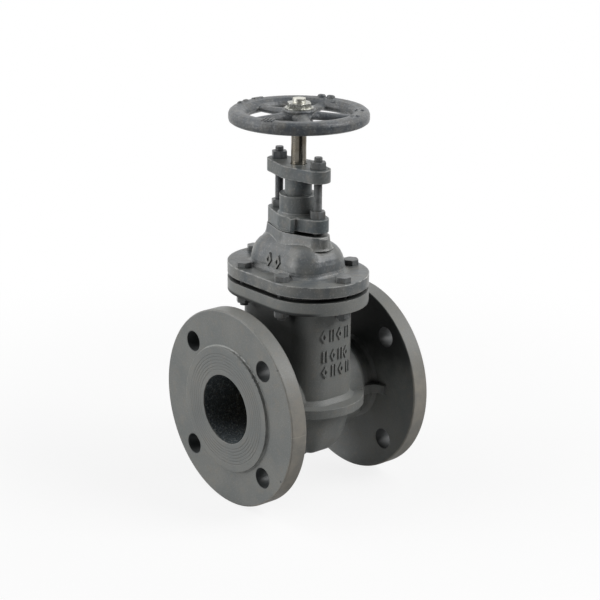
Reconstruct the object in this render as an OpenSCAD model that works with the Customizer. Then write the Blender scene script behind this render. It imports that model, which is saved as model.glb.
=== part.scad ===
// Wedge gate valve, DN 65 PN 16, flat oval pattern, inside screw, non-rising stem.
// +X runs along the pipe from the inlet flange to the outlet flange, +Z up the stem, and the origin
// is on the inlet's raised face, on the pipe's axis. Sizes are in millimetres.

/* [Pipe flanges] */
// face to face length
face_to_face = 170; // [150:1:200]
// flange outside diameter
flange_d = 185; // [175:1:200]
// flange thickness with its raised face
flange_t = 20; // [16:1:24]
// raised face diameter
raised_d = 118; // [110:1:124]
// raised face height
raised_h = 3; // [2:0.5:4]
// bolt circle diameter
bolt_circle_d = 145; // [140:1:150]
// bolt hole diameter
bolt_hole_d = 19; // [14:1:23]
// bolt holes in each flange
bolt_count = 4; // [4:4:8]
// how much wider the outlet's bolt holes are than the inlet's
outlet_hole_extra = 0.4; // [0:0.1:1]
// bore diameter
bore_d = 65; // [55:1:70]
// length of each bore in from its raised face
throat_l = 55; // [45:1:58]

/* [Body] */
// half length of the chamber across the pipe
chamber_l = 54; // [50:1:58]
// half width of the chamber along the pipe
chamber_w = 32; // [30:0.5:36]
// radius of the chamber's upright corners
corner_r = 24; // [18:1:28]
// depth of the bowl below the pipe's axis
bowl_depth = 53; // [50:1:64]
// casting wall
wall = 7; // [5:0.5:8]
// how far the belt stands out at the ends
belt_out = 16; // [12:1:18]
// belt height
belt_h = 8.5; // [6:0.5:12]
// radius of the port shoulders
port_r = 46; // [42:1:50]

/* [Cover joint] */
// top of the body's oval flange above the pipe's axis
joint_z = 106.5; // [100:0.5:115]
// half length of the oval flanges
oval_l = 73.5; // [70:0.5:84]
// half width of the oval flanges
oval_w = 50.5; // [47:0.5:58]
// thickness of the body's oval flange
oval_t = 12; // [9:0.5:15]
// gap between the oval flanges
joint_gap = 4.5; // [2:0.5:6]
// thickness of the bonnet's oval flange
bonnet_t = 10.5; // [8:0.5:14]
// cover bolt size
cover_bolt_d = 8; // [8:1:12]

/* [Bonnet and gland] */
// height of the dome above its flange
dome_h = 28; // [24:1:34]
// thickness of the flange on top of the dome
head_t = 11.5; // [9:0.5:14]
// radius of that flange round the stem
head_mid_r = 18.6; // [17:0.2:21]
// radius of that flange round each gland bolt
head_end_r = 11.8; // [10.5:0.1:13]
// gap between that flange and the stuffing box
head_gap = 3.5; // [2:0.5:5]
// thickness of the stuffing box's flange
box_t = 12; // [9:0.5:14]
// radius of the stuffing box's flange round the stem
box_mid_r = 20; // [18:0.5:22]
// stuffing box outside diameter
box_d = 34.4; // [31:0.2:38]
// height of the stuffing box above its flange
box_h = 18; // [14:1:24]
// gland sleeve outside diameter
gland_d = 25; // [23:0.5:26]
// gland flange thickness
gland_t = 11.5; // [8:0.5:14]
// radius of the gland's flange round the stem
gland_mid_r = 17.5; // [16:0.5:19]
// length of the gland sleeve that stands out of the box
gland_out = 16; // [8:1:22]
// half distance between the gland bolts
gland_bolt_y = 27.3; // [25:0.1:31]
// gland bolt size
gland_bolt_d = 8; // [6:1:9]

/* [Stem and handwheel] */
// stem diameter
stem_d = 14; // [12:0.5:15]
// height of the handwheel's underside
wheel_z = 257; // [250:1:270]
// handwheel diameter
wheel_d = 127; // [110:1:160]
// rim width
rim_w = 17; // [13:1:20]
// rim height
rim_h = 11.5; // [9:0.5:14]
// hub diameter
hub_d = 31; // [28:1:36]
// number of spokes
spokes = 5; // [3:1:6]
// height of the wheel nut
wheel_nut_h = 4.4; // [4:0.1:7]

/* [Wedge] */
// angle of each wedge face
wedge_a = 5; // [3:0.5:6]
// half thickness of the wedge at the pipe's axis
wedge_t = 15; // [14:0.5:16]
// width of the seat rings
seat_w = 6; // [4:0.5:7]

/* [Hidden] */
cx = face_to_face / 2;
bore_r = bore_d / 2;
seat_r = bore_r + seat_w;
wedge_r = seat_r + 1.5;
running = 0.4;
cover_hole_r = cover_bolt_d / 2 + 0.5;
cover_bolts = [[0, 1], [0, -1], [1, 1], [1, -1], [-1, 1], [-1, -1]];
cover_end_y = oval_l - cover_bolt_d * 1.25;
cover_side_x = oval_w - cover_bolt_d * 1.15;
cover_side_y = oval_l * 0.37;
bolt_end_z = joint_z - oval_t - cover_bolt_d * 0.8 - 3;
bonnet_z = joint_z + joint_gap;
deck_z = bonnet_z + bonnet_t;
dome_top_z = deck_z + dome_h;
head_z = dome_top_z - 4;
head_top_z = head_z + head_t;
box_z = head_top_z + head_gap;
box_deck_z = box_z + box_t;
box_top_z = box_deck_z + box_h;
gland_z = box_top_z + gland_out;
gland_top_z = gland_z + gland_t;
box_in_r = gland_d / 2 + 0.3;
lobe_r = gland_bolt_d * 1.25 + 1.3;
gland_hole_r = gland_bolt_d / 2 + 0.5;
stem_r = stem_d / 2;
square_w = stem_d * 0.78;
hub_h = rim_h + 1.4;
hub_plate_h = 4.5;
washer_h = 1.2;
stub_out = 3.8;
hub_top_z = wheel_z + hub_h - 1.5;
collar_r = box_in_r - 1.5;
collar_h = 7;
collar_z = head_top_z - 2;
spot_r = cover_bolt_d * 1.3;
spot_h = 8;
dome_bulge = 2.38;
head_gasket_r = box_mid_r - 4.5;
seam = 0.9;
stub_y = -15.5;
tip_r = 5;
tip_h = 9.5;
tip_x = -0.9;
tip_y = -gland_bolt_y - 8.6;
spoke_w = 11;
spoke_h = 8.4;
spoke_low = 1.2;
spoke_turn = 24.8;
cast_grey = [0.47, 0.47, 0.46];
dark_iron = [0.3, 0.3, 0.3];
brass = [0.72, 0.58, 0.3];
steel = [0.62, 0.62, 0.6];
zinc = [0.78, 0.78, 0.74];
sheet = [0.16, 0.16, 0.17];

// ---- shapes that several pieces share ----

// a slot shape with its long axis along Y
module oval(l, w) {
  square([w * 2, (l - w) * 2], center = true);
  for (s = [-1, 1])
    translate([0, s * (l - w)]) circle(w, $fn = 64);
}

// a rounded rectangle, l and w its half length along Y and half width along X
module rounded(l, w, r) {
  square([w * 2, (l - r) * 2], center = true);
  square([(w - r) * 2, l * 2], center = true);
  for (x = [-1, 1], y = [-1, 1])
    translate([x * (w - r), y * (l - r)]) circle(r, $fn = 64);
}

// a profile of [radius, height] carried round a rectangle whose half sides are gap_x and gap_y, so
// that a form turned on one axis becomes an oval or a rounded box
module stretched(points, gap_x, gap_y) {
  sides = [[0, gap_x, gap_y], [90, gap_y, gap_x]];
  for (x = gap_x > 0 ? [-1, 1] : [0], y = [-1, 1])
    translate([x * gap_x, y * gap_y, 0]) rotate_extrude($fn = 64) polygon(points);
  for (d = sides)
    if (d[2] > 0)
      rotate([0, 0, d[0]]) rotate([90, 0, 0])
        linear_extrude(d[2] * 2, center = true)
          polygon(concat(
            [for (p = points) [p[0] + d[1], p[1]]],
            [for (i = [len(points) - 1 : -1 : 0]) [-points[i][0] - d[1], points[i][1]]]
          ));
}

// two round lobes joined by straight flanks to a round middle
module lozenge(mid_r, end_r) {
  slope = asin((mid_r - end_r) / gland_bolt_y);
  flank = [
    [end_r * cos(slope), gland_bolt_y + end_r * sin(slope)],
    [mid_r * cos(slope), mid_r * sin(slope)]
  ];
  circle(mid_r, $fn = 56);
  for (s = [-1, 1]) {
    translate([0, s * gland_bolt_y]) circle(end_r, $fn = 32);
    polygon([
      for (p = flank) [p[0], s * p[1]],
      [0, 0],
      for (p = [flank[1], flank[0]]) [-p[0], s * p[1]],
      [0, s * gland_bolt_y]
    ]);
  }
}

module at_lobes() {
  for (s = [-1, 1])
    translate([0, s * gland_bolt_y, 0]) children();
}

// a lozenge whose sides spread downwards from top to foot
module tapered_lozenge(mid_r, end_r, h, top, foot) {
  hull() {
    cylinder(h = h, r1 = mid_r + foot, r2 = mid_r + top, $fn = 48);
    at_lobes() cylinder(h = h, r1 = end_r + foot, r2 = end_r + top, $fn = 32);
  }
}

// a hexagon whose upper corners are turned off
module hex_prism(across, h) {
  turned_h = h + across * 0.22;
  intersection() {
    cylinder(h = h, d = across / cos(30), $fn = 6);
    translate([0, 0, h - turned_h])
      cylinder(h = turned_h, r1 = across * 0.9, r2 = across * 0.54, $fn = 36);
  }
}

module hex_nut(across, h, hole_r) {
  difference() {
    hex_prism(across, h);
    translate([0, 0, -1]) cylinder(h = h + 2, r = hole_r, $fn = 32);
  }
}

// a solid of revolution round the pipe's axis, drawn as [distance from the middle, radius]
module round_pipe(points) {
  rotate([0, 90, 0]) rotate_extrude($fn = 80) polygon([for (p = points) [p[1], p[0]]]);
}

// puts its children on the pipe's axis at the middle, tilted as the wedge face on that side
module on_face(side) {
  translate([cx, 0, 0]) rotate([0, 0, side > 0 ? 0 : 180]) rotate([0, wedge_a + 90, 0]) children();
}

// ---- body ----

module pipe_flange() {
  shoulder = cx - flange_t;
  round_pipe([
    [0, 0], [0, port_r], [shoulder - 22, port_r],
    [shoulder - 19, port_r - 1.5], [shoulder - 15, port_r - 5.5],
    [shoulder - 7, port_r - 7.5], [shoulder - 3, port_r - 7], [shoulder, port_r - 4],
    [shoulder, flange_d / 2 - 1], [shoulder + 1, flange_d / 2], [cx - raised_h - 1, flange_d / 2],
    [cx - raised_h, flange_d / 2 - 1], [cx - raised_h, raised_d / 2 + 1],
    [cx - raised_h + 0.6, raised_d / 2], [cx, raised_d / 2], [cx, 0]
  ]);
}

module bowl(r, depth) {
  side = [for (a = [0 : 7.5 : 90]) [r * cos(a), -depth * sin(a)]];
  stretched(concat([[0, 0]], side), chamber_w - corner_r, chamber_l - corner_r);
}

module drain_boss() {
  rotate_extrude($fn = 48)
    polygon([
      [0, -bowl_depth + 6], [25, -bowl_depth + 6], [17, -bowl_depth - 1], [13, -bowl_depth - 4],
      [11, -bowl_depth - 8], [11, -bowl_depth - 11], [10, -bowl_depth - 12], [0, -bowl_depth - 12]
    ]);
}

module belt() {
  translate([0, 0, -belt_h * 0.6])
    linear_extrude(belt_h)
      difference() {
        offset(r = -9, $fn = 48) offset(delta = 9) {
          oval(chamber_l + belt_out, chamber_w + belt_out * 1.15);
          square([face_to_face - 2 * flange_t, port_r * 2 - 6], center = true);
          for (s = [-1, 1])
            translate([s * (cx - flange_t - 1), 0]) square([4, chamber_l * 2], center = true);
        }
        square([chamber_w, chamber_l], center = true);
      }
}

// where the cover bolt b stands, measured from the middle of the valve
function cover_place(b) = [b[0] * cover_side_x, b[0] == 0 ? b[1] * cover_end_y : b[1] * cover_side_y];

module cover_holes(z, h) {
  for (b = cover_bolts)
    translate(concat(cover_place(b), z)) cylinder(h = h, r = cover_hole_r, $fn = 32);
}

// room for the nuts and bolt ends under the cover flange, where they would meet the chamber's wall
module nut_room() {
  for (b = cover_bolts)
    translate(concat(cover_place(b), bolt_end_z - 1))
      cylinder(h = joint_z - oval_t - bolt_end_z + 0.99, r = cover_bolt_d * 0.97, $fn = 32);
}

module body_outside() {
  for (s = [0, 180]) rotate([0, 0, s]) pipe_flange();
  linear_extrude(joint_z - 2) rounded(chamber_l, chamber_w, corner_r);
  bowl(corner_r, bowl_depth);
  drain_boss();
  belt();
  stretched([
    [0, belt_h * 0.3], [corner_r + 4, belt_h * 0.3], [corner_r + 4, belt_h * 0.4],
    [corner_r - 1, belt_h * 0.4 + 5], [0, belt_h * 0.4 + 5]
  ], chamber_w - corner_r, chamber_l - corner_r);
  translate([0, 0, joint_z - oval_t]) linear_extrude(oval_t) oval(oval_l, oval_w);
  translate([0, 0, joint_z - 0.5]) linear_extrude(1.5) oval(oval_l - 8, oval_w - 8);
}

module seat_tubes() {
  for (side = [-1, 1])
    on_face(side)
      translate([0, 0, wedge_t + 2]) cylinder(h = chamber_w - wedge_t, r = seat_r + 4, $fn = 64);
}

// the way in from one flange: the bore, then a wider passage to the seat
module bore_cut() {
  translate([wedge_t, 0, 0]) rotate([0, 90, 0]) cylinder(h = cx, r = bore_r, $fn = 80);
  translate([wedge_t, 0, 0]) rotate([0, 90, 0])
    cylinder(h = cx - wedge_t - throat_l, r = bore_r + 1, $fn = 80);
}

module flange_holes(x, hole_d) {
  for (k = [0 : bolt_count - 1])
    rotate([(k + 0.5) * 360 / bolt_count, 0, 0])
      translate([x, 0, bolt_circle_d / 2])
        rotate([0, 90, 0]) cylinder(h = flange_t + 2, d = hole_d, $fn = 32);
}

module body() {
  color(cast_grey)
    difference() {
      union() {
        translate([cx, 0, 0])
          difference() {
            body_outside();
            linear_extrude(joint_z + 2) rounded(chamber_l - wall, chamber_w - wall, corner_r - wall);
            translate([0, 0, 0.01]) bowl(corner_r - wall, bowl_depth - wall);
          }
        intersection() {
          seat_tubes();
          translate([cx, 0, -bore_d]) cylinder(h = bore_d * 2, r = chamber_l, $fn = 64);
        }
      }
      for (side = [0, 180])
        translate([cx, 0, 0]) rotate([0, 0, side]) bore_cut();
      for (side = [-1, 1])
        on_face(side) translate([0, 0, wedge_t]) cylinder(h = 6.3, r = seat_r, $fn = 64);
      flange_holes(-1, bolt_hole_d);
      flange_holes(face_to_face - flange_t - 1, bolt_hole_d + outlet_hole_extra);
      translate([cx, 0, 0]) {
        cover_holes(joint_z - oval_t - 1, oval_t + 3);
        nut_room();
      }
    }
}

module seat_ring(side) {
  color(brass)
    on_face(side)
      difference() {
        translate([0, 0, wedge_t + running]) cylinder(h = 6.3 - running, r = seat_r, $fn = 64);
        translate([0, 0, wedge_t - 1]) cylinder(h = 9, r = bore_r, $fn = 64);
      }
}

// ---- wedge ----

module wedge() {
  top = wedge_r + 16;
  color(dark_iron)
    translate([cx, 0, 0])
      difference() {
        intersection() {
          rotate([90, 0, 90])
            linear_extrude(80, center = true) {
              circle(wedge_r, $fn = 72);
              translate([-17, 0]) square([34, top]);
            }
          rotate([90, 0, 0])
            linear_extrude(wedge_r * 2 + 2, center = true)
              polygon([
                for (e = [[-1, -wedge_r], [-1, top], [1, top], [1, -wedge_r]])
                  [e[0] * (wedge_t - 2 + e[1] * tan(wedge_a)), e[1]]
              ]);
        }
        translate([0, 0, -wedge_r + 4]) cylinder(h = top + wedge_r, r = stem_r + 3, $fn = 40);
        translate([-40, -13.3, wedge_r - 2.3]) cube([80, 26.6, 14.6]);
        for (side = [0, 180])
          rotate([0, 0, side]) rotate([0, wedge_a + 90, 0])
            translate([0, 0, wedge_t - 3.5]) cylinder(h = 9, r = seat_r + 0.05, $fn = 64);
      }
}

module wedge_ring(side) {
  color(brass)
    on_face(side)
      difference() {
        translate([0, 0, wedge_t - 3.5]) cylinder(h = 3.5, r = seat_r, $fn = 64);
        translate([0, 0, wedge_t - 1.5]) cylinder(h = 9, r = bore_r, $fn = 64);
      }
}

module stem_nut() {
  color(brass)
    translate([cx, 0, wedge_r - 2])
      difference() {
        translate([-wedge_t + 1, -13, 0]) cube([wedge_t * 2 - 2, 26, 14]);
        translate([0, 0, -1]) cylinder(h = 16, r = stem_r + 0.1, $fn = 40);
      }
}

// ---- cover joint and bonnet ----

module cover_gasket() {
  color(sheet)
    translate([cx, 0, joint_z + 1])
      difference() {
        linear_extrude(joint_gap - 2) difference() {
          oval(oval_l - 6, oval_w - 6);
          rounded(chamber_l - wall, chamber_w - wall, corner_r - wall);
        }
        cover_holes(-1, joint_gap + 2);
      }
}

// its profile is fuller than an ellipse
module dome(r, h) {
  side = [for (a = [0 : 10 : 90]) [r * pow(cos(a), 2 / dome_bulge), h * pow(sin(a), 2 / dome_bulge)]];
  stretched(concat([[0, 0]], side), chamber_w - corner_r - 1, chamber_l - corner_r - 8);
}

// where the dome runs out into its flange
module dome_foot() {
  out = 4;
  stretched([
    [0, 0], [corner_r + out, 0], [corner_r + out, 1], [corner_r + out * 0.5, 1 + out * 0.15],
    [corner_r + out * 0.15, 1 + out * 0.5], [corner_r - 0.1, 1 + out], [0, 1 + out]
  ], chamber_w - corner_r - 1, chamber_l - corner_r - 8);
}

// the flange on top of the dome, which spreads downwards into it
module head() {
  draft = [[0, 0], [7.5, 1.2], [10.5, 2.2], [12, 3.8]];
  for (i = [1 : len(draft) - 1]) {
    above = draft[i - 1];
    below = draft[i];
    translate([0, 0, head_top_z - below[0]])
      tapered_lozenge(head_mid_r, head_end_r - 0.8, below[0] - above[0], above[1], below[1]);
  }
  translate([tip_x, tip_y, head_top_z - tip_h]) cylinder(h = tip_h - 1, r = tip_r, $fn = 32);
  translate([tip_x, tip_y, head_top_z - tip_h - 1]) cylinder(h = 1, r1 = tip_r - 1.2, r2 = tip_r, $fn = 32);
}

module bonnet() {
  dome_r = corner_r;
  color(cast_grey)
    translate([cx, 0, 0])
      difference() {
        union() {
          translate([0, 0, bonnet_z]) linear_extrude(bonnet_t) oval(oval_l, oval_w);
          translate([0, 0, bonnet_z - 1]) linear_extrude(2) oval(oval_l - 8, oval_w - 8);
          translate([0, 0, deck_z - 1]) dome(dome_r, dome_h + 1);
          translate([0, 0, deck_z - 1]) dome_foot();
          head();
        }
        translate([0, 0, bonnet_z - 2]) dome(dome_r - wall + 1, dome_h + bonnet_t - wall + 2);
        translate([0, 0, deck_z]) cylinder(h = dome_h + head_t, r = stem_r + 0.5, $fn = 40);
        translate([0, 0, collar_z - 1]) cylinder(h = 20, r = collar_r + 0.5, $fn = 40);
        cover_holes(bonnet_z - 1, bonnet_t + 2);
        for (b = cover_bolts)
          translate(concat(cover_place(b), deck_z)) cylinder(h = spot_h, r = spot_r, $fn = 40);
        at_lobes() translate([0, 0, head_z - 1]) cylinder(h = head_t + 2, r = gland_hole_r, $fn = 32);
        at_lobes() translate([0, 0, head_z - 6.5]) cylinder(h = 8, r = gland_bolt_d, $fn = 32);
      }
}

module cover_bolt(i) {
  b = cover_bolts[i];
  color(steel)
    translate(concat([cx, 0] + cover_place(b), 0)) {
      translate([0, 0, deck_z]) hex_prism(cover_bolt_d * 1.6, cover_bolt_d * 0.64);
      translate([0, 0, bolt_end_z])
        cylinder(h = deck_z - bolt_end_z + 1, d = cover_bolt_d - 0.4, $fn = 32);
    }
}

module cover_nuts() {
  color(steel)
    for (b = cover_bolts)
      translate(concat([cx, 0] + cover_place(b), joint_z - oval_t))
        rotate([180, 0, 0]) hex_nut(cover_bolt_d * 1.6, cover_bolt_d * 0.8, cover_bolt_d / 2);
}

// ---- stuffing box and gland ----

module head_gasket() {
  color(sheet)
    translate([cx, 0, head_top_z])
      difference() {
        cylinder(h = head_gap, r = head_gasket_r, $fn = 48);
        translate([0, 0, -1]) cylinder(h = 10, r = box_in_r, $fn = 40);
      }
}

// the outline of the stuffing box's flange, with the stub of the runner it was cast through
module box_outline() {
  lozenge(box_mid_r, lobe_r - 1);
  polygon([[-17.5, 9], [-19, -3.4], [-19.8, -11], [-22.6, stub_y], [-12, stub_y], [-12, 9]]);
}

module stuffing_box() {
  color(cast_grey)
    translate([cx, 0, 0])
      difference() {
        union() {
          translate([0, 0, box_z]) linear_extrude(box_t) box_outline();
          translate([0, 0, head_top_z + seam])
            linear_extrude(head_gap)
              intersection() {
                lozenge(box_mid_r - 0.8, lobe_r - 1);
                translate([-30, stub_y + 3]) square([60, 60]);
              }
          translate([0, 0, box_deck_z - 1]) cylinder(h = box_h + 1, d = box_d, $fn = 56);
          translate([0, 0, box_deck_z - 1])
            cylinder(h = 3.6, r1 = box_d / 2 + 2.6, r2 = box_d / 2 - 0.5, $fn = 56);
        }
        translate([0, 0, box_z + 5]) cylinder(h = box_t + box_h, r = box_in_r, $fn = 56);
        translate([0, 0, box_z - 1]) cylinder(h = box_t, r = stem_r + 0.5, $fn = 40);
        translate([0, 0, box_z - 1])
          cylinder(h = collar_z + collar_h - box_z + 1.5, r = collar_r + 0.5, $fn = 40);
        translate([0, 0, head_top_z - 1]) cylinder(h = head_gap + 1, r = head_gasket_r + 0.2, $fn = 48);
        translate([-16.2, stub_y - 0.5, box_z - 1]) cylinder(h = box_t + 2, r = 1.2, $fn = 24);
        at_lobes()
          translate([0, 0, head_top_z]) cylinder(h = box_t + head_gap + 2, r = gland_hole_r, $fn = 32);
      }
}

module gland_bolt(side) {
  bolt_top = gland_top_z + gland_bolt_d * 0.85 + 4;
  color(steel)
    translate([cx, side * gland_bolt_y, 0]) {
      translate([0, 0, head_z - gland_bolt_d * 0.5]) hex_prism(gland_bolt_d * 1.6, gland_bolt_d * 0.5 + 1);
      translate([0, 0, head_z]) cylinder(h = bolt_top - head_z, d = gland_bolt_d - 0.8, $fn = 32);
    }
}

module lobe_nut(side, z) {
  color(steel)
    translate([cx, side * gland_bolt_y, z])
      hex_nut(gland_bolt_d * 1.6, gland_bolt_d * 0.85, gland_bolt_d / 2 - 0.2);
}

module gland_packing() {
  color(sheet)
    translate([cx, 0, box_z + 5])
      difference() {
        cylinder(h = box_t + box_h - 5 - 8, r = box_in_r, $fn = 56);
        translate([0, 0, -1]) cylinder(h = 60, r = stem_r + 0.2, $fn = 40);
      }
}

module gland() {
  color(cast_grey)
    translate([cx, 0, 0])
      difference() {
        union() {
          translate([0, 0, gland_z]) linear_extrude(gland_t) lozenge(gland_mid_r, lobe_r);
          translate([0, 0, box_top_z - 8]) cylinder(h = gland_out + 9, d = gland_d, $fn = 56);
        }
        translate([0, 0, box_top_z - 9]) cylinder(h = 60, r = stem_r + 0.5, $fn = 40);
        at_lobes() translate([0, 0, gland_z - 1]) cylinder(h = gland_t + 2, r = gland_hole_r, $fn = 32);
      }
}

// ---- stem and handwheel ----

module stem() {
  low = wedge_r - 0.5;
  color(steel)
    translate([cx, 0, 0]) {
      translate([0, 0, low + 2]) cylinder(h = wheel_z - low - 3.5, r = stem_r, $fn = 40);
      translate([0, 0, low]) cylinder(h = 2, r1 = stem_r - 2, r2 = stem_r, $fn = 40);
      translate([0, 0, collar_z]) cylinder(h = collar_h, r = collar_r, $fn = 40);
      translate([0, 0, wheel_z + hub_h / 2 - 2.5])
        cube([square_w, square_w, hub_h + 2], center = true);
      translate([0, 0, hub_top_z])
        cylinder(h = washer_h + wheel_nut_h + stub_out, r = square_w / 2 + 0.4, $fn = 32);
    }
}

module rim_section() {
  r = wheel_d / 2;
  polygon([
    [r - 2, 0], [r - 0.4, 1.2], [r, 3], [r, rim_h * 0.62], [r - 0.8, rim_h * 0.8], [r - 3, rim_h * 0.95],
    [r - rim_w * 0.4, rim_h], [r - rim_w * 0.7, rim_h * 0.93], [r - rim_w * 0.9, rim_h * 0.72],
    [r - rim_w, rim_h * 0.42], [r - rim_w * 0.94, rim_h * 0.15], [r - rim_w * 0.8, 0]
  ]);
}

// an oval bar along X, from its width and height at the distance a to those at the distance b
module spoke(a, a_w, a_h, b, b_w, b_h) {
  hull()
    for (e = [[a, a_w, a_h], [b, b_w, b_h]])
      translate([e[0], 0, spoke_low + e[2] / 2])
        rotate([0, 90, 0]) linear_extrude(0.1) scale([e[2] / e[1], 1]) circle(e[1] / 2, $fn = 24);
}

// the wider root of a spoke, an oval cone that ends inside it
module spoke_root(a) {
  translate([a, 0, spoke_low + spoke_h / 2])
    scale([1, 1, spoke_h / spoke_w / 1.62])
      rotate([0, 90, 0]) cylinder(h = 11, r1 = spoke_w * 0.84, r2 = spoke_w * 0.44, $fn = 32);
}

module handwheel() {
  root_r = hub_d / 2 - 5;
  color(dark_iron)
    translate([cx, 0, wheel_z])
      difference() {
        union() {
          rotate_extrude($fn = 72) rim_section();
          translate([0, 0, -1.5]) cylinder(h = hub_h, d1 = hub_d - 6, d2 = hub_d - 4, $fn = 48);
          translate([0, 0, hub_h - 1.5 - hub_plate_h])
            cylinder(h = hub_plate_h - 1.2, d1 = hub_d - 2.5, d2 = hub_d, $fn = 48);
          translate([0, 0, hub_h - 2.7]) cylinder(h = 1.2, d1 = hub_d, d2 = hub_d - 1.6, $fn = 48);
          for (k = [0 : spokes - 1])
            rotate([0, 0, spoke_turn + k * 360 / spokes]) {
              spoke(root_r, spoke_w, spoke_h, wheel_d / 2 - rim_w + 3, spoke_w * 0.92, spoke_h * 0.68);
              spoke_root(root_r);
            }
        }
        cube([square_w + 0.3, square_w + 0.3, 60], center = true);
      }
}

module wheel_washer() {
  color(zinc)
    translate([cx, 0, hub_top_z])
      difference() {
        cylinder(h = washer_h, r = stem_r * 1.85, $fn = 40);
        translate([0, 0, -1]) cylinder(h = 4, r = square_w / 2 + 0.6, $fn = 32);
      }
}

module wheel_nut() {
  color(zinc)
    translate([cx, 0, hub_top_z + washer_h]) hex_nut(stem_d * 1.42, wheel_nut_h, square_w / 2 + 0.4);
}

body();
seat_ring(-1);  // inlet_seat_ring
seat_ring(1);  // outlet_seat_ring
wedge();
wedge_ring(-1);  // inlet_wedge_ring
wedge_ring(1);  // outlet_wedge_ring
stem_nut();
cover_gasket();
bonnet();
cover_bolt(0);  // cover_bolt_1
cover_bolt(1);  // cover_bolt_2
cover_bolt(2);  // cover_bolt_3
cover_bolt(3);  // cover_bolt_4
cover_bolt(4);  // cover_bolt_5
cover_bolt(5);  // cover_bolt_6
cover_nuts();
head_gasket();
stuffing_box();
gland_bolt(1);  // gland_bolt_left
gland_bolt(-1);  // gland_bolt_right
lobe_nut(1, box_deck_z);  // box_nut_left
lobe_nut(-1, box_deck_z);  // box_nut_right
gland_packing();
gland();
lobe_nut(1, gland_top_z);  // gland_nut_left
lobe_nut(-1, gland_top_z);  // gland_nut_right
stem();
handwheel();
wheel_washer();
wheel_nut();
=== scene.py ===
import math

import bmesh
import bpy
from mathutils import Matrix, Quaternion, Vector


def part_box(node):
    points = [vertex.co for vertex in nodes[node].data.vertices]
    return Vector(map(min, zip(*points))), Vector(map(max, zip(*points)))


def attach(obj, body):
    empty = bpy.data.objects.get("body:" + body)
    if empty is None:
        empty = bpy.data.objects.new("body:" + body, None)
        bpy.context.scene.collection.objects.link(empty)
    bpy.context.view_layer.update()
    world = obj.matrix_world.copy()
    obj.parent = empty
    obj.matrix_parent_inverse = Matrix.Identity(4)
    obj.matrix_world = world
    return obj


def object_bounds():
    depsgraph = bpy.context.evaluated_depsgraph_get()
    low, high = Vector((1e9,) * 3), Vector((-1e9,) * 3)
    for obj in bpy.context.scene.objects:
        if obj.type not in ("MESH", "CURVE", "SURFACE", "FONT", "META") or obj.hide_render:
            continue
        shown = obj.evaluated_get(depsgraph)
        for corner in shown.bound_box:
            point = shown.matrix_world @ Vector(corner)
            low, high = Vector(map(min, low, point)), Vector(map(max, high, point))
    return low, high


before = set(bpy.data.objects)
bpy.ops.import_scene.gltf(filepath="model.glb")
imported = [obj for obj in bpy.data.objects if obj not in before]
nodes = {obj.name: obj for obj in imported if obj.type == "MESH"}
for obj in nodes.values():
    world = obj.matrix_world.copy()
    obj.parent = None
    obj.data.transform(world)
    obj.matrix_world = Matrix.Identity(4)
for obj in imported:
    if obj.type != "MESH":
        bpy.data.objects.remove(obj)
cadLow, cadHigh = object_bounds()
scene = bpy.context.scene
mm = 0.001

valveMiddle = (cadLow + cadHigh) / 2
stemLow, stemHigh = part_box("stem")
axis = Vector(((stemLow.x + stemHigh.x) / 2, (stemLow.y + stemHigh.y) / 2, 0))  # the stem's line
print("frame loaded with", len(nodes), "nodes")


# the view of the valve

cameraSettings = {
    "azimuth": -40.19, "elevation": 18.322, "roll": 0.597,  # degrees
    "distance": 1.58866, "lens": 103.005, "sensor": 36, "clip": (0.05, 40),
    "aim": (0, -3.93 * mm, -3.82 * mm),  # from the middle of the valve's box
}


def directionAt(azimuth, elevation):
    a, e = math.radians(azimuth), math.radians(elevation)
    return Vector((math.sin(a) * math.cos(e), -math.cos(a) * math.cos(e), math.sin(e)))


def placeCamera():
    look = cameraSettings
    back = directionAt(look["azimuth"], look["elevation"])
    data = bpy.data.cameras.new("viewCamera")
    data.lens = look["lens"]
    data.sensor_width = look["sensor"]
    data.clip_start, data.clip_end = look["clip"]
    data.dof.use_dof = False
    camera = bpy.data.objects.new("viewCamera", data)
    scene.collection.objects.link(camera)
    camera.rotation_mode = "QUATERNION"
    turned = Quaternion((0, 0, 1), math.radians(look["roll"]))
    camera.rotation_quaternion = (-back).to_track_quat("-Z", "Y") @ turned
    camera.location = valveMiddle + Vector(look["aim"]) + back * look["distance"]
    scene.camera = camera


placeCamera()
print("camera placed")


# shader maths

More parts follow.
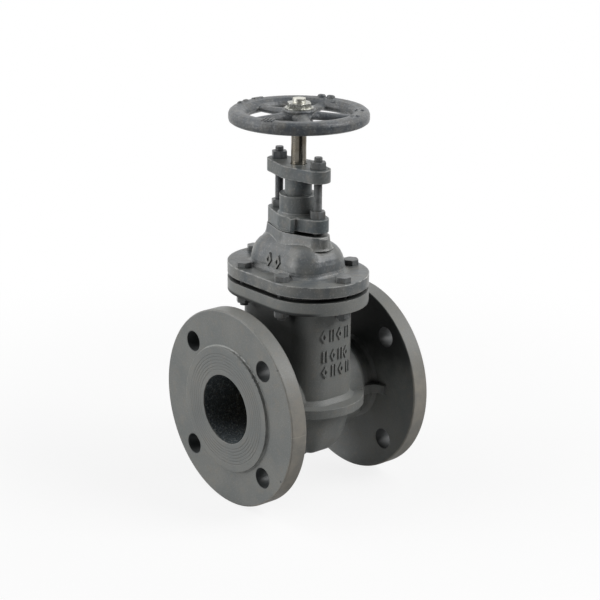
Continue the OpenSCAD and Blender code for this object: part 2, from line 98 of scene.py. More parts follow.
class Wire:  # one socket, so that sums on it can be written as sums
    def __init__(self, recipe, socket):
        self.recipe = recipe
        self.socket = socket

    def maths(self, operation, first, second=0.0):
        return self.recipe.node("ShaderNodeMath", {"operation": operation}, {0: first, 1: second})

    def __add__(self, other):
        return self.maths("ADD", self, other)

    def __radd__(self, other):
        return self.maths("ADD", other, self)

    def __sub__(self, other):
        return self.maths("SUBTRACT", self, other)

    def __rsub__(self, other):
        return self.maths("SUBTRACT", other, self)

    def __mul__(self, other):
        return self.maths("MULTIPLY", self, other)

    def __rmul__(self, other):
        return self.maths("MULTIPLY", other, self)

    def __truediv__(self, other):
        return self.maths("DIVIDE", self, other)

    def __rtruediv__(self, other):
        return self.maths("DIVIDE", other, self)

    def __pow__(self, other):
        return self.maths("POWER", self, other)

    def __rpow__(self, other):
        return self.maths("POWER", other, self)

    def __abs__(self):
        return self.maths("ABSOLUTE", self)

    def rest(self):  # what is left over a whole number
        return self.maths("FRACT", self)

    def least(self, other):
        return self.maths("MINIMUM", self, other)

    def most(self, other):
        return self.maths("MAXIMUM", self, other)

    def rise(self, low, high):  # 0 below low, 1 above high, smooth between
        return self.recipe.node(
            "ShaderNodeMapRange", {"interpolation_type": "SMOOTHSTEP", "clamp": True},
            {"Value": self, "From Min": low, "From Max": high})

    def fall(self, low, high):  # 1 below low, 0 above high, smooth between
        return 1 - self.rise(low, high)

    def side(self, name):  # another socket of the same node
        return Wire(self.recipe, self.socket.node.outputs[name])


class Recipe:  # the nodes of one material, or of the world
    def __init__(self, tree):
        self.tree = tree
        tree.nodes.clear()

    def node(self, kind, settings=None, values=None, out=0):
        made = self.tree.nodes.new(kind)
        for name, value in (settings or {}).items():
            setattr(made, name, value)
        for name, value in (values or {}).items():
            socket = made.inputs[name]
            if isinstance(value, Wire):
                self.tree.links.new(value.socket, socket)
            else:
                socket.default_value = value
        return Wire(self, made.outputs[out] if made.outputs else None)

    def place(self):
        return self.node("ShaderNodeTexCoord", out="Object")

    def split(self, vector):  # its X, Y and Z
        x = self.node("ShaderNodeSeparateXYZ", values={0: vector}, out="X")
        return x, x.side("Y"), x.side("Z")

    def vectors(self, operation, values, out="Value"):
        return self.node(
            "ShaderNodeVectorMath", {"operation": operation}, dict(enumerate(values)), out)

    def cloud(self, size, at, detail=2.0, roughness=0.5):  # size is that of a patch, in metres
        return self.node(
            "ShaderNodeTexNoise", {},
            {"Vector": at, "Scale": 1 / size, "Detail": detail, "Roughness": roughness})

    def mix(self, share, first, second):
        return self.node("ShaderNodeMix", {"data_type": "RGBA"}, {0: share, 6: first, 7: second}, 2)

    def bump(self, height, under=None):  # height is in millimetres
        values = {"Strength": 1.0, "Distance": mm, "Height": height}
        if under:
            values["Normal"] = under
        return self.node("ShaderNodeBump", {}, values)


black, white = (0, 0, 0, 1), (1, 1, 1, 1)


def grey(level):
    return (level, level, level, 1)


def paint(red, green, blue):  # a colour as a screen shows it, 0 to 255
    levels = [c / 255 for c in (red, green, blue)]
    return tuple(c / 12.92 if c <= 0.04045 else ((c + 0.055) / 1.055) ** 2.4 for c in levels) + (1.0,)


def newFinish(name):
    material = bpy.data.materials.new(name)
    material.use_nodes = True
    return material, Recipe(material.node_tree)


def closeFinish(recipe, surface):
    recipe.node("ShaderNodeOutputMaterial", {}, {"Surface": surface})


shapeSettings = {
    "edgeSamples": 6, "airSamples": 8,
    "turned": (0.01, 0.12),  # 1 less the cosine of how far rounding turns a face
}


def edgeShare(recipe, radius):  # the rounded normal, and 1 on outer edges and in inner corners
    soft = recipe.node("ShaderNodeBevel", {"samples": shapeSettings["edgeSamples"]}, {"Radius": radius})
    flat = recipe.node("ShaderNodeNewGeometry", out="Normal")
    alike = recipe.vectors("DOT_PRODUCT", (soft, flat))
    return soft, (1 - alike).rise(*shapeSettings["turned"])


def shutIn(recipe, reach):  # 1 deep in a crevice, 0 out in the open
    samples = {"samples": shapeSettings["airSamples"]}
    return 1 - recipe.node("ShaderNodeAmbientOcclusion", samples, {"Distance": reach}, "AO")


# painted castings

greyPaint = {
    "paint": paint(133, 134, 131), "shade": paint(123, 126, 125), "warm": paint(141, 136, 127),
    "speck": paint(98, 101, 102), "paleAndSheen": paint(168, 169, 165), "hollowShadePaint": paint(26, 28, 28),
    "patch": 34 * mm, "blot": 6 * mm, "fine": 1.1 * mm,  # sizes of the patterns
    "edge": 1.2 * mm, "reach": 15 * mm,  # of the rounding, and of the painted shade in crevices
    "warmth": 0.4, "spots": 0.3, "wornAndSheen": 0.7, "paintedHollowShade": 0.9,  # how much each shows
    "waves": 0.3, "lumps": 0.12, "grain": 0.04,  # heights of patches, blots and fine grain, in mm
    "rough": 0.44, "roughPatch": 0.2, "roughBlot": 0.3, "gloss": 0.4,
}
coverLook = {
    **greyPaint, "paint": paint(121, 122, 119), "shade": paint(99, 104, 107),
    "speck": paint(86, 90, 92), "paleAndSheen": paint(196, 197, 194),
    "patch": 18 * mm, "fine": 1.9 * mm, "edge": 1.8 * mm, "spots": 0.22, "wornAndSheen": 1.0,
    "waves": 0.5, "lumps": 0.4, "grain": 0.17, "rough": 0.36, "gloss": 0.6,
}
pressLook = {  # the stuffing box and the gland
    **coverLook, "paint": paint(112, 115, 114), "shade": paint(90, 98, 102),
    "patch": 26 * mm, "grain": 0.16, "rough": 0.4, "gloss": 0.45,
}
wheelLook = {
    **greyPaint, "paint": paint(106, 107, 106), "shade": paint(84, 89, 94), "warm": paint(112, 107, 98),
    "speck": paint(66, 71, 76), "paleAndSheen": paint(160, 162, 161),
    "patch": 9 * mm, "fine": 2.2 * mm, "edge": 1.6 * mm, "reach": 8 * mm, "spots": 0.45, "wornAndSheen": 0.8,
    "waves": 0.4, "lumps": 0.45, "grain": 0.3, "rough": 0.38, "gloss": 0.5,
}
boltLook = {
    **greyPaint, "paint": paint(118, 120, 120), "shade": paint(98, 101, 102), "warm": paint(104, 98, 88),
    "speck": paint(58, 60, 64), "paleAndSheen": paint(150, 151, 148),
    "patch": 5 * mm, "edge": 0.5 * mm, "wornAndSheen": 0.6,
    "waves": 0.05, "lumps": 0.06, "grain": 0.03, "rough": 0.36, "gloss": 0.5,
}
studLook = {  # the left gland bolt and its nut are darker
    **boltLook, "paint": paint(92, 95, 99), "shade": paint(72, 76, 81), "paleAndSheen": paint(140, 142, 142),
}
raisedLook = {  # small raised marks take a finer edge
    "patch": 8 * mm, "edge": 0.35 * mm, "wornAndSheen": 0.35, "waves": 0.05, "lumps": 0.05,
}
paintCuts = {  # the values of its pattern between which each sets in
    "patch": (0.3, 0.7), "warm": (0.5, 0.72), "speck": (0.52, 0.7), "pale": (0.3, 0.46),
    "wornAndSheen": (0.34, 0.56), "paintedHollowShade": (0.34, 0.8),
}


def castPaint(name, look, special=None):
    material, r = newFinish(name)
    cut = paintCuts
    at = r.place()
    large = r.cloud(look["patch"], at)
    middle = r.cloud(look["blot"], at, detail=3.0, roughness=0.55)
    fine = r.cloud(look["fine"], at, detail=3.0, roughness=0.65)
    soft, edge = edgeShare(r, look["edge"])
    colour = r.mix(large.rise(*cut["patch"]), look["shade"], look["paint"])
    colour = r.mix(middle.rise(*cut["warm"]) * look["warmth"], colour, look["warm"])
    colour = r.mix(fine.rise(*cut["speck"]) * look["spots"], colour, look["speck"])
    colour = r.mix(fine.fall(*cut["pale"]) * look["spots"], colour, look["paleAndSheen"])
    # edges: partly paint worn off, partly a painted highlight on rounded edges
    colour = r.mix(edge * middle.rise(*cut["wornAndSheen"]) * look["wornAndSheen"], colour, look["paleAndSheen"])
    height = (fine - 0.5) * look["grain"] + (middle - 0.5) * look["lumps"] + (large - 0.5) * look["waves"]
    rough = look["rough"] + (middle - 0.5) * look["roughBlot"] + (large - 0.5) * look["roughPatch"]
    if special:
        colour, height, rough = special(r, at, colour, height, rough)
    # painted shade: the colour darkens in crevices and between parts, where shade falls
    paintedHollowShade = shutIn(r, look["reach"]).rise(*cut["paintedHollowShade"]) * look["paintedHollowShade"]
    colour = r.mix(paintedHollowShade, colour, look["hollowShadePaint"])
    closeFinish(r, r.node("ShaderNodeBsdfPrincipled", {}, {
        "Base Color": colour, "Roughness": rough, "Normal": r.bump(height, soft),
        "Specular IOR Level": look["gloss"]}))
    return material


# what only the body's paint has; pairs are where a mark sets in or ends, from and to

bodyMarks = {
    "boreR": 32.5 * mm, "raisedR": 59 * mm, "rimR": 92.5 * mm, "flangeT": 20 * mm,
    "raisedT": (3.2 * mm, 4.2 * mm), "flangeEnd": (0, 0.5 * mm),
    "wearAndStepLight": 18 * mm, "wearAndStepLightCut": (0.3, 0.65),  # of the rings and the step
    "rings": {
        "from": 36 * mm, "to": 53 * mm, "soft": 1 * mm, "pitch": 2.9 * mm, "skin": (0.2 * mm, 0.5 * mm),
        "line": (0.05, 0.2),  # shares of the pitch
        "least": 0.2, "more": 0.7, "depth": 0.16, "paint": paint(100, 101, 99),
    },
    "dents": {
        "fromStep": (0.7 * mm, 2.2 * mm), "forward": (6 * mm, 20 * mm), "up": (20 * mm, 34 * mm),
        "inlet": (20 * mm, 30 * mm), "size": 2.6 * mm, "cut": (0.5, 0.62),
        "single": [  # place, radius
            (3 * mm, -71.5 * mm, 58 * mm, 1.3 * mm), (3 * mm, -77 * mm, -46 * mm, 1.5 * mm),
        ],
        "core": 0.5,  # share of the radius
        "share": 0.8, "depth": 0.45, "paint": paint(66, 69, 72),
    },
    "rims": {
        "edge": (-1.6 * mm, -0.7 * mm), "size": 12 * mm, "cut": (0.35, 0.7), "up": (0, 60 * mm),
        "least": 0.15, "low": 0.3, "lowPatches": 0.4, "paint": paint(164, 158, 148),
    },
    "scratch": {
        "z": 0.8 * mm, "wide": (0.25 * mm, 0.7 * mm), "bend": 3 * mm, "bendSize": 14 * mm,
        "forward": (80 * mm, 84 * mm), "inlet": (17 * mm, 20 * mm),
        "share": 0.6, "paint": paint(176, 170, 158),
    },
    "shelterShade": {
        "near": (-1.5 * mm, -0.5 * mm), "far": (48 * mm, 62 * mm),  # from the flange's back, from its face
        "low": (16 * mm, 62 * mm), "high": (96 * mm, 98 * mm), "size": 22 * mm, "ragged": 30 * mm,
        "share": 0.92, "paint": paint(36, 39, 39),
    },
    "stepLight": {
        "fromStep": (0.4 * mm, 1.4 * mm), "skin": (0.3 * mm, 1 * mm),
        "least": 0.3, "more": 0.6, "paint": paint(176, 178, 175),
    },
    "holes": {
        "at": 51.3 * mm, "radius": 10.2 * mm,  # at is along Y and along Z
        "wall": (-0.5 * mm, 0), "mouth": (0.6 * mm, 2.5 * mm), "share": 0.8, "paint": paint(58, 62, 64),
    },
    "bore": {
        "wall": (0.2 * mm, 0.6 * mm), "mouth": (0.4 * mm, 2 * mm), "size": 2.2 * mm, "cut": (0.5, 0.68),
        "depth": 3.0, "rougher": 0.1, "paint": paint(80, 89, 94), "speck": paint(168, 175, 178),
    },
}


def bodySpecial(r, at, colour, height, rough):
    b = bodyMarks
    x, y, z = r.split(at)
    forward = 0 - y
    radius = (y * y + z * z) ** 0.5
    fromStep = abs(radius - b["raisedR"])
    face = x.least(cadHigh.x - x)  # how far in from the nearer flange face
    behind = face - b["flangeT"]
    raised, flange = face.fall(*b["raisedT"]), behind.fall(*b["flangeEnd"])
    wearAndStepLight = r.cloud(b["wearAndStepLight"], at).rise(*b["wearAndStepLightCut"])
    # turned rings on the raised faces
    m = b["rings"]
    ring = ((radius - m["from"]) / m["pitch"]).rest()
    groove = abs(ring - 0.5).fall(*m["line"]) * face.fall(*m["skin"])
    groove = groove * radius.rise(m["from"] - m["soft"], m["from"])
    groove = groove * radius.fall(m["to"], m["to"] + m["soft"])
    colour = r.mix(groove * (m["least"] + wearAndStepLight * m["more"]), colour, m["paint"])
    height = height - groove * m["depth"]
    # dents along a quarter of the raised face's edge, and two single ones further out
    m = b["dents"]
    quarter = forward.rise(*m["forward"]) * z.rise(*m["up"]) * x.fall(*m["inlet"])
    pits = r.cloud(m["size"], at, detail=3.0, roughness=0.7).rise(*m["cut"])
    pits = pits * fromStep.fall(*m["fromStep"]) * raised * quarter
    for px, py, pz, size in m["single"]:
        away = r.vectors("DISTANCE", (at, (px, py, pz)))
        pits = pits.most(away.fall(size * m["core"], size) * m["share"])
    colour = r.mix(pits * m["share"], colour, m["paint"])
    height = height - pits * m["depth"]
    # the flanges' rims are warmer and lighter, most of all low down: partly a warm tint, partly painted
    # light where the floor lights them
    m = b["rims"]
    rim = (radius - b["rimR"]).rise(*m["edge"]) * flange
    patchy = r.cloud(m["size"], at, detail=4.0, roughness=0.6).rise(*m["cut"])
    lower = (patchy * m["lowPatches"] + m["low"]) * z.fall(*m["up"])
    colour = r.mix(rim * (m["least"] + lower), colour, m["paint"])
    # one scratch across the inlet flange's rim
    m = b["scratch"]
    bend = (r.cloud(m["bendSize"], at, detail=1.0) - 0.5) * m["bend"]
    scratch = abs(z - m["z"] - bend).fall(*m["wide"]) * rim
    scratch = scratch * forward.rise(*m["forward"]) * x.fall(*m["inlet"])
    colour = r.mix(scratch * m["share"], colour, m["paint"])
    # painted shade: a dark colour where the flanges shelter the casting, where shade falls
    m = b["shelterShade"]
    ragged = r.cloud(m["size"], at, detail=3.0, roughness=0.6) * m["ragged"]
    sheltered = behind.rise(*m["near"]) * face.fall(*m["far"])
    sheltered = sheltered * (z + ragged).rise(*m["low"]) * z.fall(*m["high"])
    colour = r.mix(sheltered * m["share"], colour, m["paint"])
    # painted light: the side of the raised face's step is lighter, lifting its shade
    m = b["stepLight"]
    stepLight = fromStep.fall(*m["fromStep"]) * face.rise(*m["skin"]) * raised
    colour = r.mix(stepLight * (m["least"] + wearAndStepLight * m["more"]), colour, m["paint"])
    # the bolt holes are darker
    m = b["holes"]
    across, up = abs(y) - m["at"], abs(z) - m["at"]
    holes = ((across * across + up * up) ** 0.5 - m["radius"]).fall(*m["wall"])
    colour = r.mix(holes * face.rise(*m["mouth"]) * flange * m["share"], colour, m["paint"])
    # rough bore
    m = b["bore"]
    inside = (radius - b["boreR"]).fall(*m["wall"]) * face.rise(*m["mouth"])
    coarse = r.cloud(m["size"], at, detail=4.0, roughness=0.75)
    colour = r.mix(inside, colour, r.mix(coarse.rise(*m["cut"]), m["paint"], m["speck"]))
    height = height + inside * (coarse - 0.5) * m["depth"]
    return colour, height, rough + inside * m["rougher"]


# bare metals

stemLook = {
    "metal": (0.46, 0.43, 0.37, 1), "tarnish": (0.33, 0.29, 0.23, 1), "bright": (0.78, 0.75, 0.7, 1),
    "stretch": (1, 1, 0.06), "line": 1.6 * mm, "patch": 9 * mm,
    "rough": 0.16, "streak": 0.14, "dull": 0.1, "depth": 0.01,
    "endZ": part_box("wheel_nut")[0].z, "endMetal": (0.72, 0.71, 0.64, 1), "endRough": 0.22,
}
zincLook = {
    "metal": (0.64, 0.64, 0.60, 1), "tarnish": (0.22, 0.22, 0.19, 1), "bright": (0.92, 0.92, 0.88, 1),
    "stretch": (1, 1, 1), "line": 1.2 * mm, "patch": 1.9 * mm,
    "rough": 0.32, "streak": 0.3, "dull": 0.2, "depth": 0.09,
}
brassLook = {
    "metal": (0.66, 0.46, 0.20, 1), "tarnish": (0.45, 0.31, 0.14, 1), "bright": (0.85, 0.66, 0.36, 1),
    "stretch": (6, 1, 1), "line": 1.5 * mm, "patch": 8 * mm,
    "rough": 0.3, "streak": 0.2, "dull": 0.1, "depth": 0.015,
}
rawIronLook = {
    "metal": grey(0.20), "tarnish": (0.13, 0.12, 0.11, 1), "bright": grey(0.34),
    "stretch": (1, 1, 1), "line": 1.2 * mm, "patch": 7 * mm,
    "rough": 0.5, "streak": 0.3, "dull": 0.1, "depth": 0.1,
}
metalCuts = {
    "tarnish": (0.35, 0.7), "dull": (0.4, 0.7), "edge": 0.5 * mm, "edgeBright": 0.5, "endSoft": 0.2 * mm,
}


def turnedMetal(name, look):
    material, r = newFinish(name)
    cut = metalCuts
    at = r.place()
    stretched = r.node("ShaderNodeMapping", {}, {"Vector": at, "Scale": look["stretch"]})
    lines = r.cloud(look["line"], stretched, detail=3.0, roughness=0.6)
    patch = r.cloud(look["patch"], at, detail=3.0, roughness=0.6)
    soft, edge = edgeShare(r, cut["edge"])
    colour = r.mix(patch.rise(*cut["tarnish"]), look["metal"], look["tarnish"])
    colour = r.mix(edge * cut["edgeBright"], colour, look["bright"])
    rough = look["rough"] + (lines - 0.5) * look["streak"] + patch.rise(*cut["dull"]) * look["dull"]
    if "endZ" in look:  # the end over the wheel is plated
        z = r.split(at)[2]
        end = z.rise(look["endZ"], look["endZ"] + cut["endSoft"])
        colour = r.mix(end, colour, look["endMetal"])
        rough = rough + end * look["endRough"]
    closeFinish(r, r.node("ShaderNodeBsdfPrincipled", {}, {
        "Base Color": colour, "Roughness": rough, "Metallic": 1.0,
        "Normal": r.bump((lines - 0.5) * look["depth"], soft)}))
    return material


# joint sheet and packing

fibreSettings = {
    "blot": 6 * mm, "blotPaint": paint(40, 38, 35), "blotCut": (0.4, 0.7), "blotShare": 0.3,
    "cut": (0.45, 0.62), "depth": 0.12, "rough": 0.7, "roughBlot": 0.2,
}


def fibreSheet(name, base, fleck, size):
    material, r = newFinish(name)
    f = fibreSettings
    at = r.place()
    fibres = r.cloud(size, at, detail=5.0, roughness=0.7)
    blotch = r.cloud(f["blot"], at)
    colour = r.mix(fibres.rise(*f["cut"]), base, fleck)
    colour = r.mix(blotch.rise(*f["blotCut"]) * f["blotShare"], colour, f["blotPaint"])
    closeFinish(r, r.node("ShaderNodeBsdfPrincipled", {}, {
        "Base Color": colour, "Roughness": f["rough"] + (blotch - 0.5) * f["roughBlot"],
        "Normal": r.bump(fibres * f["depth"])}))
    return material


finishes = {
    "body": castPaint("bodyPaint", greyPaint, bodySpecial),
    "cover": castPaint("coverPaint", coverLook),
    "press": castPaint("pressPaint", pressLook),
    "wheel": castPaint("wheelPaint", wheelLook),
    "marks": castPaint("raisedMarks", {**greyPaint, **raisedLook}),
    "wheelMarks": castPaint("rimMarksPaint", {**wheelLook, **raisedLook}),
    "bolt": castPaint("boltPaint", boltLook),
    "stud": castPaint("studPaint", studLook),
    "stem": turnedMetal("stemSteel", stemLook),
    "zinc": turnedMetal("zincPlate", zincLook),
    "brass": turnedMetal("seatBrass", brassLook),
    "iron": turnedMetal("wedgeIron", rawIronLook),
    "sheet": fibreSheet("jointSheet", paint(32, 34, 34), paint(66, 66, 63), 1.4 * mm),
    "packing": fibreSheet("packingCord", paint(60, 58, 52), paint(96, 92, 82), 0.9 * mm),
}
nodesWith = {  # the nodes that have each finish, where it isn't the bolts' paint
    "body": ["body"], "cover": ["bonnet"], "press": ["stuffing_box", "gland"], "wheel": ["handwheel"],
    "stud": ["gland_bolt_left", "gland_nut_left"], "stem": ["stem"], "zinc": ["wheel_washer", "wheel_nut"],
    "brass": ["inlet_seat_ring", "outlet_seat_ring", "inlet_wedge_ring", "outlet_wedge_ring", "stem_nut"],
    "iron": ["wedge"], "sheet": ["cover_gasket", "head_gasket"], "packing": ["gland_packing"],
}


def finishOf(name):
    return next((finish for finish, names in nodesWith.items() if name in names), "bolt")


for name, node in nodes.items():
    for holder in node.material_slots:
        holder.link = "OBJECT"
        holder.material = finishes[finishOf(name)]
print("finishes made:", len(finishes))


# pieces built here

sharpAngle = 40  # degrees; steeper edges aren't smoothed


def keepPiece(mesh, name, finish, body, smooth=True):
    data = bpy.data.meshes.new(name)
    mesh.to_mesh(data)
    mesh.free()
    for face in data.polygons:
        face.use_smooth = smooth
    if smooth:
        data.set_sharp_from_angle(angle=math.radians(sharpAngle))
    piece = bpy.data.objects.new(name, data)
    scene.collection.objects.link(piece)
    data.materials.append(finishes[finish])
    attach(piece, body)


def joinInto(target, part):  # adds part's mesh to target's
    data = bpy.data.meshes.new("spare")
    part.to_mesh(data)
    part.free()
    target.from_mesh(data)
    bpy.data.meshes.remove(data)


# threads

threadSettings = {
    "pitch": 1.25 * mm, "perTurn": 18, "leastSteps": 4, "depth": 0.55 * mm,
    "start": 0.5, "half": 0.46,  # of a ridge, as shares of the pitch
    "boltR": 4.0 * mm, "studR": 4.0 * mm, "stemR": 6.15 * mm, "coverBolts": 6,
    "glandT": 11.5 * mm,  # the gland's thickness at its bolts
    "clear": 0.1 * mm, "underNut": 0.05 * mm, "studEnd": 0.2 * mm, "stemEnd": 0.3 * mm,  # left plain
}


def threadRidge(centre, crest, low, high):
    t = threadSettings
    core = crest - t["depth"]
    turns = (high - low) / t["pitch"] - 1
    steps = max(t["leastSteps"], int(turns * t["perTurn"]))
    start, half = low + t["pitch"] * t["start"], t["pitch"] * t["half"]
    mesh = bmesh.new()
    corners = [(core, -half), (crest, 0), (core, half)]
    profile = [mesh.verts.new((centre[0] + r, centre[1], start + h)) for r, h in corners]
    face = mesh.faces.new(profile)
    geometry = [face] + list(face.edges) + profile
    bmesh.ops.spin(
        mesh, geom=geometry, cent=(centre[0], centre[1], 0), axis=(0, 0, 1),
        dvec=(0, 0, turns * t["pitch"] / steps), angle=math.tau * turns, steps=steps, use_duplicate=False)
    bmesh.ops.recalc_face_normals(mesh, faces=mesh.faces)
    return mesh


def nodeAxis(name):
    low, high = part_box(name)
    return ((low.x + high.x) / 2, (low.y + high.y) / 2)


def buildStudThreads(side):  # below and above the gland
    t = threadSettings
    lowNut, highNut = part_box("box_nut_" + side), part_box("gland_nut_" + side)
    underGland = highNut[0].z - t["glandT"]
    lengths = [
        (lowNut[1].z + t["clear"], underGland - t["clear"]),
        (highNut[1].z + t["clear"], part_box("gland_bolt_" + side)[1].z - t["studEnd"]),
    ]
    studs = bmesh.new()
    for low, high in lengths:
        joinInto(studs, threadRidge(nodeAxis("gland_bolt_" + side), t["studR"], low, high))
    finish = finishOf("gland_bolt_" + side)
    keepPiece(studs, side + "StudThreads", finish, "valve", smooth=False)


def buildBoltEnds():
    t = threadSettings
    ends = bmesh.new()
    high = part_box("cover_nuts")[0].z - t["underNut"]
    for number in range(1, t["coverBolts"] + 1):
        name = "cover_bolt_%d" % number
        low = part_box(name)[0].z + t["clear"]
        joinInto(ends, threadRidge(nodeAxis(name), t["boltR"], low, high))
    keepPiece(ends, "boltEndThreads", "bolt", "valve", smooth=False)


def buildStemEnd():
    t = threadSettings
    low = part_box("wheel_nut")[1].z + t["clear"]
    ridge = threadRidge((axis.x, axis.y), t["stemR"], low, stemHigh.z - t["stemEnd"])
    keepPiece(ridge, "stemEndThread", "zinc", "stem", smooth=False)


buildStudThreads("left")
buildStudThreads("right")
buildBoltEnds()
buildStemEnd()
print("threads cut")


# raised cast marks

markSettings = {
    "sunk": 1.2 * mm, "soft": 0.5 * mm, "lozengeSteps": 2, "barSteps": 3,
    "away": 0.1,  # metres outside the valve, where a line that looks for its surface starts
}


def onSurface(name, start, way):  # where a straight line from start first meets a CAD node
    hit, place, out, _ = nodes[name].ray_cast(start, way)
    if not hit:
        raise ValueError("no surface of %s on this line" % name)
    return place, out.normalized()


def placeMark(part, centre, out, up):  # turns a mark drawn on XY to stand on a surface
    up = (up - out * up.dot(out)).normalized()
    across = up.cross(out).normalized()
    turn = Matrix((across, up, out)).transposed().to_4x4()
    bmesh.ops.transform(part, matrix=Matrix.Translation(centre) @ turn, verts=part.verts)


def softenEdges(part, edges, offset, segments):
    bmesh.ops.bevel(
        part, geom=edges, offset=offset, offset_type="OFFSET", segments=segments, profile=0.5,
        affect="EDGES", material=-1, clamp_overlap=True)


def hollowLozenge(wide, tall, stroke, proud):
    part = bmesh.new()
    bmesh.ops.create_circle(part, cap_ends=True, radius=1.0, segments=4)
    bmesh.ops.scale(part, vec=(wide / 2, tall / 2, 1), verts=part.verts)
    ring = bmesh.ops.inset_region(
        part, faces=part.faces[:], thickness=stroke, use_boundary=True, use_even_offset=True)["faces"]
    inner = [f for f in part.faces if f not in ring]
    bmesh.ops.delete(part, geom=inner, context="FACES")
    grown = bmesh.ops.extrude_face_region(part, geom=part.faces[:])["geom"]
    top = [v for v in grown if isinstance(v, bmesh.types.BMVert)]
    foot = [v for v in part.verts if v not in top]
    bmesh.ops.translate(part, vec=(0, 0, proud), verts=top)
    bmesh.ops.translate(part, vec=(0, 0, -markSettings["sunk"]), verts=foot)
    bmesh.ops.recalc_face_normals(part, faces=part.faces)
    edges = [e for e in part.edges if all(v.co.z > 0 for v in e.verts)]
    softenEdges(part, edges, markSettings["soft"], markSettings["lozengeSteps"])
    return part


def bar(wide, tall, proud, soft=None):
    part = bmesh.new()
    sunk = markSettings["sunk"]
    bmesh.ops.create_cube(part, size=1.0)
    bmesh.ops.scale(part, vec=(wide, tall, proud + sunk), verts=part.verts)
    bmesh.ops.translate(part, vec=(0, 0, (proud - sunk) / 2), verts=part.verts)
    edges = [e for e in part.edges if any(v.co.z > 0 for v in e.verts)]
    softenEdges(part, edges, soft or markSettings["soft"], markSettings["barSteps"])
    return part


neckMarks = {
    "flat": 8 * mm, "corner": 24 * mm, "faceY": -54 * mm,  # the neck's outline
    "reach": 60,  # mm out from its middle, where a line that looks for the neck starts
    "rows": [  # height, then places along the outline in mm
        (68.9 * mm, (-13.4, -3.9, 4.8, 14.1)),
        (49.6 * mm, (-11.9, -2.5, 6.2, 12.6)),
        (34.8 * mm, (-11.6, -1.5, 7.3, 16.3)),
    ],
    "wide": 7.2 * mm, "tall": 12.4 * mm, "stroke": 2.0 * mm, "proud": 1.3 * mm,  # of a lozenge
    "bars": 1.9, "barTall": 0.9,  # mm from the middle of a pair, and share of a lozenge's height
}


def neckPoint(along):  # the middle that a place on the neck's outline turns about, and where it faces
    m = neckMarks
    turn = max(0.0, abs(along) - m["flat"]) / m["corner"]
    side = math.copysign(1, along)
    middle = Vector((axis.x + (side * m["flat"] if turn else along), m["faceY"] + m["corner"], 0))
    return middle, Vector((side * math.sin(turn), -math.cos(turn), 0))


def buildNeckMarks():
    m = neckMarks
    marks = bmesh.new()

    def stand(part, along, height):
        middle, out = neckPoint(along * mm)
        middle.z = height
        place, _ = onSurface("body", middle + out * m["reach"] * mm, -out)
        placeMark(part, place, out, Vector((0, 0, 1)))
        joinInto(marks, part)

    for row, (height, places) in enumerate(m["rows"]):
        for number, along in enumerate(places):
            if (row + number) % 2 == 0:
                stand(hollowLozenge(m["wide"], m["tall"], m["stroke"], m["proud"]), along, height)
            else:
                for shift in (-m["bars"], m["bars"]):
                    stand(bar(m["stroke"], m["tall"] * m["barTall"], m["proud"]), along + shift, height)
    keepPiece(marks, "neckMarks", "marks", "valve")


domeMarks = {
    "z": 131.8 * mm, "places": (4.9 * mm, -7.3 * mm),  # along Y
    "wide": 8.4 * mm, "tall": 13 * mm, "stroke": 2.2 * mm, "proud": 1.4 * mm,
}


def buildDomeMarks():
    m = domeMarks
    marks = bmesh.new()
    for y in m["places"]:
        start = Vector((cadLow.x - markSettings["away"], y, m["z"]))
        place, out = onSurface("bonnet", start, Vector((1, 0, 0)))
        part = hollowLozenge(m["wide"], m["tall"], m["stroke"], m["proud"])
        placeMark(part, place, out, Vector((0, 0, 1)))
        joinInto(marks, part)
    keepPiece(marks, "domeMarks", "marks", "valve")


rimMarks = {
    "pips": [  # degrees, then radius, width, depth and height in mm
        (117.4, 58.0, 5.6, 4.6, 1.5), (107.5, 58.0, 5.6, 4.6, 1.4), (28.8, 57.5, 7.6, 6.5, 2.3),
        (19.5, 57.5, 7.6, 6.5, 2.3), (10.5, 50.0, 4.5, 3.6, 1.0), (-40.4, 51.0, 4.2, 3.6, 0.9),
        (-46.0, 56.5, 4.2, 3.6, 0.9), (-72.5, 55.0, 4.2, 3.6, 0.9), (-69.0, 59.0, 4.2, 3.6, 0.9),
        (91.0, 58.5, 12, 5, 1.0),
    ],
    "softDepth": 0.35, "softHeight": 1.2,  # times a pip's depth and height; the lesser rounds it
    "bars": (-162.5, -159.6, -156.5, -153.6), "barRadius": 57.0, "barSize": (1.7 * mm, 8.0 * mm, 0.9 * mm),
}


def buildRimMarks():
    m = rimMarks
    marks = bmesh.new()

    def stand(part, degrees, radius):
        a = math.radians(degrees)
        radial = Vector((math.cos(a), math.sin(a), 0))
        start = axis + radial * radius * mm + Vector((0, 0, cadHigh.z + markSettings["away"]))
        place, out = onSurface("handwheel", start, Vector((0, 0, -1)))
        placeMark(part, place, out, radial)
        joinInto(marks, part)

    for degrees, radius, wide, deep, proud in m["pips"]:
        soft = min(deep * m["softDepth"], proud * m["softHeight"])
        stand(bar(wide * mm, deep * mm, proud * mm, soft * mm), degrees, radius)
    for degrees in m["bars"]:
        stand(bar(*m["barSize"]), degrees, m["barRadius"])
    keepPiece(marks, "rimMarks", "wheelMarks", "stem")


buildNeckMarks()
buildDomeMarks()
buildRimMarks()
print("cast marks raised")


# studio; turn is in degrees from the camera, towards its right, and up is in degrees from level

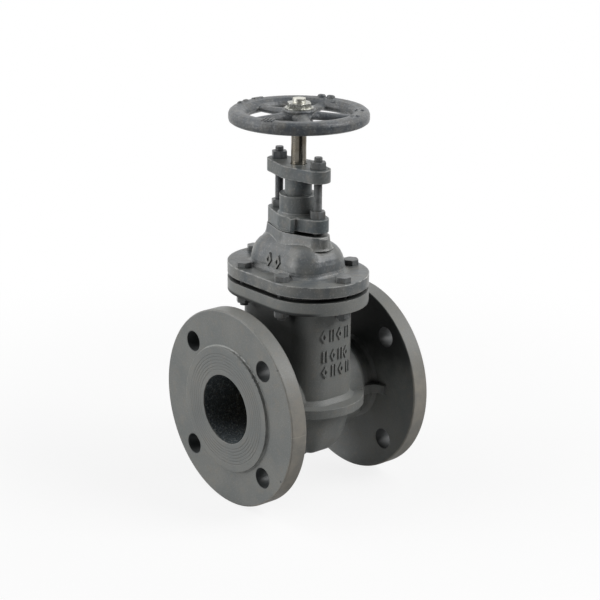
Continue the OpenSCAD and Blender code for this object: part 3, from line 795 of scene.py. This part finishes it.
studioSettings = {
    "room": {  # metal sees a dark room behind the camera; its edge is in cosines
        "up": 8, "level": 0.06, "edge": (-0.6, 0.1),
    },
    "lamps": {  # level is how bright a lamp alone makes a white surface that faces it
        "leftLow": {"turn": -75, "up": 10, "level": 0.64, "size": 1.8, "distance": 2.6},
        "leftHigh": {"turn": -95, "up": 50, "level": 0.34, "size": 1.1, "distance": 1.6},
        "rightLow": {"turn": 75, "up": 35, "level": 0.56, "size": 0.8, "distance": 1.6},
        "rightHigh": {"turn": 90, "up": 60, "level": 0.24, "size": 0.8, "distance": 1.6},
    },
    "floor": {
        "size": 9.0, "x": 85 * mm, "tones": (grey(0.54), grey(0.56)), "patch": 0.4, "cut": (0.3, 0.7),
        "near": 0.85, "far": (0.25, 0.7),  # how white it looks by the valve, and where it gets quite white
        "dark": [  # sides on which metal sees a darker floor; edges are in cosines
            {"turn": 0, "edge": (-0.85, -0.5), "share": 0.7},
            {"turn": 30, "edge": (0.86, 0.95), "share": 0.94},
        ],
    },
}


def seenHow(recipe):  # 1 for what the camera sees straight on, and 1 for what metal and glass show
    rays = recipe.node("ShaderNodeLightPath", out="Is Camera Ray")
    return rays, rays.side("Is Glossy Ray").most(rays.side("Is Transmission Ray"))


def darker(recipe, way, turn, up, edge, share):  # 1, less share on the side that turn and up point to
    towards = recipe.vectors("DOT_PRODUCT", (way, directionAt(cameraSettings["azimuth"] + turn, up)))
    return 1 - towards.rise(*edge) * share


def lightWorld():
    world = bpy.data.worlds.new("paleRoom")
    world.use_nodes = True
    scene.world = world
    r = Recipe(world.node_tree)
    room = studioSettings["room"]
    rays, mirrored = seenHow(r)
    way = r.node("ShaderNodeTexCoord", out="Generated")
    inMirror = darker(r, way, 0, room["up"], room["edge"], 1 - room["level"])
    level = r.mix(rays.most(mirrored * inMirror), black, white)
    backdrop = r.node("ShaderNodeBackground", {}, {"Color": level, "Strength": 1.0})
    r.node("ShaderNodeOutputWorld", {}, {"Surface": backdrop})


def hangLamp(name, lamp):
    way = directionAt(cameraSettings["azimuth"] + lamp["turn"], lamp["up"])
    data = bpy.data.lights.new(name, "AREA")
    data.shape = "SQUARE"
    data.size = lamp["size"]
    data.energy = lamp["level"] * math.pi ** 2 * lamp["distance"] ** 2
    lampObject = bpy.data.objects.new(name, data)
    scene.collection.objects.link(lampObject)
    lampObject.rotation_mode = "QUATERNION"
    lampObject.rotation_quaternion = (-way).to_track_quat("-Z", "Y")
    lampObject.location = valveMiddle + way * lamp["distance"]


def floorFinish():
    s = studioSettings["floor"]
    material, r = newFinish("paleFloor")
    rays, mirrored = seenHow(r)
    at = r.place()
    foot = (axis.x, axis.y, cadLow.z)
    way = r.vectors("NORMALIZE", (r.vectors("SUBTRACT", (at, foot), "Vector"),), "Vector")
    inMirror = mirrored
    for dark in s["dark"]:
        inMirror = inMirror * darker(r, way, dark["turn"], 0, dark["edge"], dark["share"])
    level = r.mix(rays.most(inMirror), black, white)
    glow = r.node("ShaderNodeEmission", {}, {"Color": level, "Strength": 1.0})
    tone = r.mix(r.cloud(s["patch"], at).rise(*s["cut"]), *s["tones"])
    matt = r.node("ShaderNodeBsdfDiffuse", {}, {"Color": r.mix(rays, tone, white)})
    away = r.vectors("DISTANCE", (at, foot)).rise(*s["far"])
    share = mirrored.most(rays * (s["near"] + away * (1 - s["near"])))
    closeFinish(r, r.node("ShaderNodeMixShader", {}, {0: share, 1: matt, 2: glow}))
    return material


def layFloor():
    s = studioSettings["floor"]
    mesh = bmesh.new()
    bmesh.ops.create_grid(mesh, x_segments=2, y_segments=2, size=s["size"])
    bmesh.ops.translate(mesh, vec=(s["x"], 0, cadLow.z), verts=mesh.verts)
    data = bpy.data.meshes.new("floor")
    mesh.to_mesh(data)
    mesh.free()
    data.materials.append(floorFinish())
    floor = bpy.data.objects.new("floor", data)
    scene.collection.objects.link(floor)


lightWorld()
for name, lamp in studioSettings["lamps"].items():
    hangLamp(name, lamp)
layFloor()
scene.view_settings.view_transform = "Standard"
print("studio lit")
